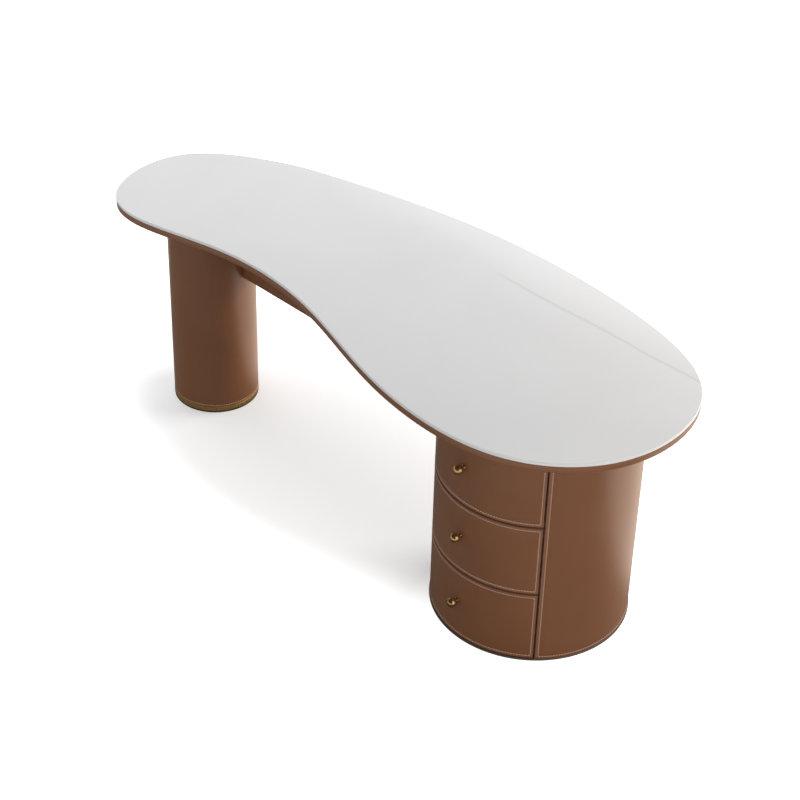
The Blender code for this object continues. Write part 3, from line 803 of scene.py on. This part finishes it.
def stretched(tree, scale):
    """Object coordinates, stretched along each axis."""
    coordinates = add_node(tree, "TexCoord").outputs["Object"]
    return add_node(tree, "Mapping", {"Vector": coordinates, "Scale": scale}).outputs["Vector"]


def noise(tree, vector, scale, detail, distortion=0.0):
    inputs = {"Vector": vector, "Scale": scale, "Detail": detail, "Distortion": distortion}
    return add_node(tree, "TexNoise", inputs).outputs["Fac"]


def mapped(tree, value, low, high, to_low, to_high, smooth=False):
    """A value's place between a low and a high, carried to another low and high."""
    inputs = {"Value": value, "From Min": low, "From Max": high, "To Min": to_low, "To Max": to_high}
    kind = "SMOOTHSTEP" if smooth else "LINEAR"
    return add_node(tree, "MapRange", inputs, interpolation_type=kind).outputs["Result"]


def maths(tree, operation, first, second=0.0):
    return add_node(tree, "Math", {0: first, 1: second}, operation=operation).outputs["Value"]


def blended(tree, share, first, second):
    """Mix two colours, or a socket and a colour, by a share."""
    mix = add_node(tree, "Mix", data_type="RGBA")
    for slot, value in (("Factor_Float", share), ("A_Color", first), ("B_Color", second)):
        socket = next(s for s in mix.inputs if s.identifier == slot)
        if isinstance(value, bpy.types.NodeSocket):
            tree.links.new(value, socket)
        elif slot == "Factor_Float":
            socket.default_value = value
        else:
            socket.default_value = (*value, 1.0)
    return next(s for s in mix.outputs if s.identifier == "Result_Color")


def bump(tree, shader, height, distance, strength, before=None):
    """Bumps on a shader, laid over those of a bump made before."""
    inputs = {"Height": height, "Distance": distance, "Strength": strength}
    if before:
        inputs["Normal"] = before
    made = add_node(tree, "Bump", inputs)
    tree.links.new(made.outputs["Normal"], shader.inputs["Normal"])
    return made.outputs["Normal"]


def leather_finish():
    """Smooth leather with faint clouds, fine pores, and a painted highlight: a paler border outside its stitches.
    """
    finish, tree, shader = start_finish("leather_saddle", LEATHER_COLOUR, LEATHER_PLAIN_ROUGHNESS)
    shader.inputs["Specular IOR Level"].default_value = LEATHER_SPECULAR
    shader.inputs["Coat Weight"].default_value = LEATHER_COAT
    shader.inputs["Coat Roughness"].default_value = LEATHER_COAT_ROUGHNESS
    shader.inputs["Sheen Weight"].default_value = LEATHER_SHEEN
    shader.inputs["Sheen Roughness"].default_value = LEATHER_SHEEN_ROUGHNESS
    shader.inputs["Sheen Tint"].default_value = (*LEATHER_SHEEN_TINT, 1.0)
    even = stretched(tree, EVEN)
    cloud = mapped(tree, noise(tree, even, *LEATHER_CLOUD_NOISE), *NOISE_SPAN, 0.0, 1.0)
    tone = blended(tree, cloud, LEATHER_DARK, LEATHER_PALE)
    # Painted highlight: the border outside the stitches is mixed towards a paler colour
    edge = add_node(tree, "Attribute", attribute_name="edge_highlight").outputs["Fac"]
    painted_highlight = mapped(tree, edge, 0.0, 1.0, 0.0, LEATHER_PAINTED_HIGHLIGHT_SHARE)
    tree.links.new(blended(tree, painted_highlight, tone, LEATHER_PAINTED_HIGHLIGHT), shader.inputs["Base Color"])
    tree.links.new(mapped(tree, cloud, 0.0, 1.0, *LEATHER_ROUGHNESS), shader.inputs["Roughness"])
    pores = add_node(tree, "TexVoronoi", {"Vector": even, "Scale": PORE_SCALE}, feature="SMOOTH_F1")
    pitted = bump(tree, shader, pores.outputs["Distance"], *PORE_BUMP)
    bump(tree, shader, noise(tree, even, *GRAIN_NOISE), *GRAIN_BUMP, pitted)
    return finish


def thread_finish():
    """Dull thread, with the twist of its strands."""
    finish, tree, shader = start_finish("thread_tan", THREAD_COLOUR, THREAD_ROUGHNESS)
    inputs = {"Vector": stretched(tree, EVEN), "Scale": STRAND_SCALE, "Distortion": STRAND_DISTORTION}
    strand = add_node(tree, "TexWave", inputs).outputs["Fac"]
    tree.links.new(blended(tree, strand, THREAD_DARK, THREAD_PALE), shader.inputs["Base Color"])
    bump(tree, shader, strand, *STRAND_BUMP)
    return finish


def stone_vein(tree, even):
    """One long faint vein, which wavers along the slab and fades in from its start."""
    spot = add_node(tree, "SeparateXYZ", {"Vector": even})
    waver = mapped(tree, noise(tree, even, *VEIN_NOISE), 0.0, 1.0, -VEIN_WAVER, VEIN_WAVER)
    line = maths(tree, "ADD", maths(tree, "SUBTRACT", spot.outputs["Y"], VEIN_PLACE), waver)
    near = mapped(tree, maths(tree, "ABSOLUTE", line), 0.0, VEIN_WIDTH, VEIN_SHARE, 0.0, smooth=True)
    begun = mapped(tree, spot.outputs["X"], VEIN_START, VEIN_START + VEIN_FADE, 0.0, 1.0, smooth=True)
    return maths(tree, "MULTIPLY", near, begun)


def stone_finish():
    """Polished white stone with faint clouds and one vein. Its sides are plain and paler, a painted highlight
    along the slab's edge.
    """
    finish, tree, shader = start_finish("stone_polished", STONE_COLOUR, STONE_PLAIN_ROUGHNESS)
    shader.inputs["Specular IOR Level"].default_value = STONE_SPECULAR
    even = stretched(tree, EVEN)
    cloud = mapped(tree, noise(tree, even, *STONE_CLOUD_NOISE), *NOISE_SPAN, 0.0, 1.0)
    tone = blended(tree, cloud, STONE_DARK, STONE_PALE)
    thinned = mapped(tree, cloud, 0.0, 1.0, VEIN_THIN_SHARE, 1.0)
    vein = maths(tree, "MULTIPLY", stone_vein(tree, even), thinned)
    veined = blended(tree, vein, tone, VEIN_COLOUR)
    # Painted highlight: upright faces get the paler side colour, level faces the veined tone
    up = add_node(tree, "SeparateXYZ", {"Vector": add_node(tree, "NewGeometry").outputs["Normal"]})
    level = mapped(tree, maths(tree, "ABSOLUTE", up.outputs["Z"]), *STONE_SIDE_HIGHLIGHT_EDGE, 0.0, 1.0)
    tree.links.new(blended(tree, level, STONE_SIDE_PAINTED_HIGHLIGHT, veined), shader.inputs["Base Color"])
    tree.links.new(mapped(tree, cloud, 0.0, 1.0, *STONE_ROUGHNESS), shader.inputs["Roughness"])
    return finish


def wood_finish(name, pale, dark, along):
    """Wood whose grain runs along one axis, given as the stretch of its coordinates."""
    finish, tree, shader = start_finish(name, pale, WOOD_PLAIN_ROUGHNESS)
    grain = stretched(tree, along)
    ring = noise(tree, grain, *WOOD_RING_NOISE)
    fibre = noise(tree, grain, *WOOD_FIBRE_NOISE)
    broad = blended(tree, mapped(tree, ring, *WOOD_RING_SPAN, 0.0, 1.0), pale, dark)
    line = mapped(tree, fibre, *WOOD_FIBRE_SPAN, 0.0, WOOD_FIBRE_SHARE)
    tree.links.new(blended(tree, line, broad, dark), shader.inputs["Base Color"])
    tree.links.new(mapped(tree, fibre, *NOISE_SPAN, *WOOD_ROUGHNESS), shader.inputs["Roughness"])
    bump(tree, shader, fibre, *WOOD_BUMP)
    return finish


def metal_finish(name, colour, roughness, along, scale, metallic):
    """Metal with the fine lines of its polish or its brushing."""
    finish, tree, shader = start_finish(name, colour, roughness[0], metallic)
    lines = noise(tree, stretched(tree, along), scale, METAL_DETAIL)
    darker = tuple(channel * METAL_DARK_SHARE for channel in colour)
    tree.links.new(blended(tree, lines, darker, colour), shader.inputs["Base Color"])
    tree.links.new(mapped(tree, lines, *NOISE_SPAN, *roughness), shader.inputs["Roughness"])
    bump(tree, shader, lines, *METAL_BUMP)
    return finish


def rubber_finish():
    """Matt black rubber with a fine speckle."""
    finish, tree, shader = start_finish("rubber_black", RUBBER_COLOUR, RUBBER_ROUGHNESS)
    speck = noise(tree, stretched(tree, EVEN), *RUBBER_SPECK_NOISE)
    tree.links.new(blended(tree, speck, RUBBER_DARK, RUBBER_PALE), shader.inputs["Base Color"])
    bump(tree, shader, speck, *RUBBER_BUMP)
    return finish


def dress_solids(finishes):
    """Give each solid that still shows the finish of its material slot."""
    slots = {entry["node"]: entry["material_slot"] for entry in frame["record"]["subparts"]}
    for name, solid in frame["nodes"].items():
        solid.data.materials.clear()
        solid.data.materials.append(finishes[slots[name]])


# Studio


def kinds_of_ray(tree):
    """1 for a ray that sees the background straight or through glass, and 1 for a ray of gloss."""
    path = add_node(tree, "LightPath")
    seen = maths(tree, "MAXIMUM", path.outputs["Is Camera Ray"], path.outputs["Is Transmission Ray"])
    return seen, path.outputs["Is Glossy Ray"]


def shade_distance(tree, spot):
    """How far a spot on the floor lies from the middle of the shade, whose ellipse is at 1."""
    scale = [1 / reach for reach in SHADE_REACH] + [1.0]
    shift = [-centre / reach for centre, reach in zip(SHADE_CENTRE, SHADE_REACH)] + [0.0]
    mapping = add_node(tree, "Mapping", {"Vector": spot, "Scale": scale, "Location": shift})
    length = add_node(tree, "VectorMath", {0: mapping.outputs["Vector"]}, operation="LENGTH")
    return length.outputs["Value"]


def floor_gloss(tree, spot, distance):
    """How bright gloss shows the floor: behind a line that slants across the desk, and far out."""
    part = add_node(tree, "SeparateXYZ", {"Vector": spot})
    slant = maths(tree, "MULTIPLY", part.outputs["X"], GLOSS_SLANT_SHARE)
    depth = maths(tree, "SUBTRACT", part.outputs["Y"], slant)
    behind = mapped(tree, depth, *GLOSS_BACK_EDGE, 0.0, GLOSS_BACK_LEVEL, smooth=True)
    far = mapped(tree, distance, *GLOSS_FAR_SHARES, 0.0, GLOSS_FAR_LEVEL, smooth=True)
    return maths(tree, "MAXIMUM", behind, far)


def build_floor():
    """A floor that keeps the desk's shadow, and that the camera sees white past a soft shade."""
    reach = FLOOR_REACH
    corners = [(-reach, -reach, 0.0), (reach, -reach, 0.0), (reach, reach, 0.0), (-reach, reach, 0.0)]
    finish, tree, shader = start_finish("studio_floor", FLOOR_COLOUR, FLOOR_ROUGHNESS)
    shader.inputs["Specular IOR Level"].default_value = 0.0
    seen, gloss = kinds_of_ray(tree)
    tree.links.new(blended(tree, gloss, FLOOR_COLOUR, GLOSS_COLOUR), shader.inputs["Base Color"])
    tree.links.new(blended(tree, gloss, WHITE, GLOSS_GLOW_COLOUR), shader.inputs["Emission Color"])
    spot = add_node(tree, "TexCoord").outputs["Object"]
    distance = shade_distance(tree, spot)
    white = mapped(tree, distance, *SHADE_EDGE_SHARES, SHADE_LEVEL, 1.0, smooth=True)
    to_camera = maths(tree, "MULTIPLY", seen, white)
    to_gloss = maths(tree, "MULTIPLY", gloss, floor_gloss(tree, spot, distance))
    tree.links.new(maths(tree, "ADD", to_camera, to_gloss), shader.inputs["Emission Strength"])
    make_mesh("studio_floor", corners, [(0, 1, 2, 3)], finish)


def room_gloss(tree):
    """How bright gloss shows the room: behind a sloping edge, beside the desk, and low down."""
    way = add_node(tree, "SeparateXYZ", {"Vector": add_node(tree, "TexCoord").outputs["Generated"]})
    x, y, z = (way.outputs[axis] for axis in "XYZ")
    fall = maths(tree, "SUBTRACT", maths(tree, "MULTIPLY", y, ROOM_RISE_SHARE), z)
    behind = mapped(tree, fall, *ROOM_BACK_EDGE, 0.0, 1.0, smooth=True)
    beside = mapped(tree, maths(tree, "ADD", x, y), *ROOM_SIDE_EDGE, 0.0, 1.0, smooth=True)
    low = mapped(tree, z, *ROOM_LOW_EDGE, ROOM_LOW_LEVEL, 0.0, smooth=True)
    bright = maths(tree, "MAXIMUM", maths(tree, "MAXIMUM", behind, beside), low)
    return mapped(tree, bright, 0.0, 1.0, ROOM_DARK_LEVEL, 1.0)


def build_world():
    """White to the camera, a plain even light, and in gloss a room that is bright at the back."""
    world = bpy.data.worlds.new("studio")
    world.use_nodes = True
    tree = world.node_tree
    seen, gloss = kinds_of_ray(tree)
    light = mapped(tree, seen, 0.0, 1.0, WORLD_LIGHT, 1.0)
    to_others = maths(tree, "MULTIPLY", light, maths(tree, "SUBTRACT", 1.0, gloss))
    to_gloss = maths(tree, "MULTIPLY", room_gloss(tree), gloss)
    background = tree.nodes["Background"]
    background.inputs["Color"].default_value = (*WHITE, 1.0)
    tree.links.new(maths(tree, "ADD", to_others, to_gloss), background.inputs["Strength"])
    bpy.context.scene.world = world


def build_lamp(name, location, target, width, height, power, colour):
    """A lamp that gloss doesn't show, so that no mirrored lamp cuts the polished slab's outline."""
    lamp = bpy.data.lights.new(name, "AREA")
    lamp.shape = "RECTANGLE"
    lamp.size = width
    lamp.size_y = height
    lamp.energy = power
    lamp.color = colour
    holder = bpy.data.objects.new(name, lamp)
    holder.location = location
    holder.rotation_euler = (Vector(target) - Vector(location)).to_track_quat("-Z", "Y").to_euler()
    holder.visible_glossy = False
    bpy.context.scene.collection.objects.link(holder)


def build_camera():
    data = bpy.data.cameras.new("camera")
    data.lens = CAMERA_LENS
    data.sensor_width = SENSOR_WIDTH
    camera = bpy.data.objects.new("camera", data)
    ahead = level_way(CAMERA_HEADING) * math.cos(CAMERA_DIP) - UP * math.sin(CAMERA_DIP)
    upright = ahead.to_track_quat("-Z", "Y").to_matrix().to_4x4()
    camera.matrix_world = Matrix.Translation(CAMERA_PLACE) @ upright @ Matrix.Rotation(CAMERA_ROLL, 4, "Z")
    bpy.context.scene.collection.objects.link(camera)
    bpy.context.scene.camera = camera


# The desk and its studio

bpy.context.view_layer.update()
bpy.context.scene.view_settings.view_transform = "Standard"
brass = metal_finish(*BRASS_POLISHED)
brass_satin = metal_finish(*BRASS_SATIN)
leather = leather_finish()
thread = thread_finish()
stone = stone_finish()
board = wood_finish(*PLYWOOD)
bronze = metal_finish(*BRONZE)
rubber = rubber_finish()
dress_solids(
    {
        "stone": stone,
        "leather": leather,
        "board": board,
        "box_wood": wood_finish(*BEECH),
        "brass": brass,
        "steel": metal_finish(*ZINC),
        "dark_metal": bronze,
        "rubber": rubber,
    }
)

outline = board_outline()
facing = drawer_facing()
build_plate("stone_slab", "stone_top", outline, STONE_ARRIS, STONE_ARRIS, stone, "stone")
build_plate("top_wrap", "top_leather", outline, WRAP_FOLD, LEATHER_SOFT_FOLD, leather, "leather")
build_leg(leather, thread)
build_beam(facing, leather)
build_pedestal_faces(facing, leather, thread, board)
build_turned_rim("leg_ring", "leg_brass_ring", RING_INSIDE_SHARE, brass_satin, "brass")
build_foot_pad(rubber)
build_turned_rim("pedestal_plate", "pedestal_base_plate", 0.0, bronze, "dark_metal")
for drawer in DRAWERS:
    build_knob(drawer, facing, brass)

build_floor()
build_world()
for lamp in LAMPS:
    build_lamp(*lamp)
build_camera()
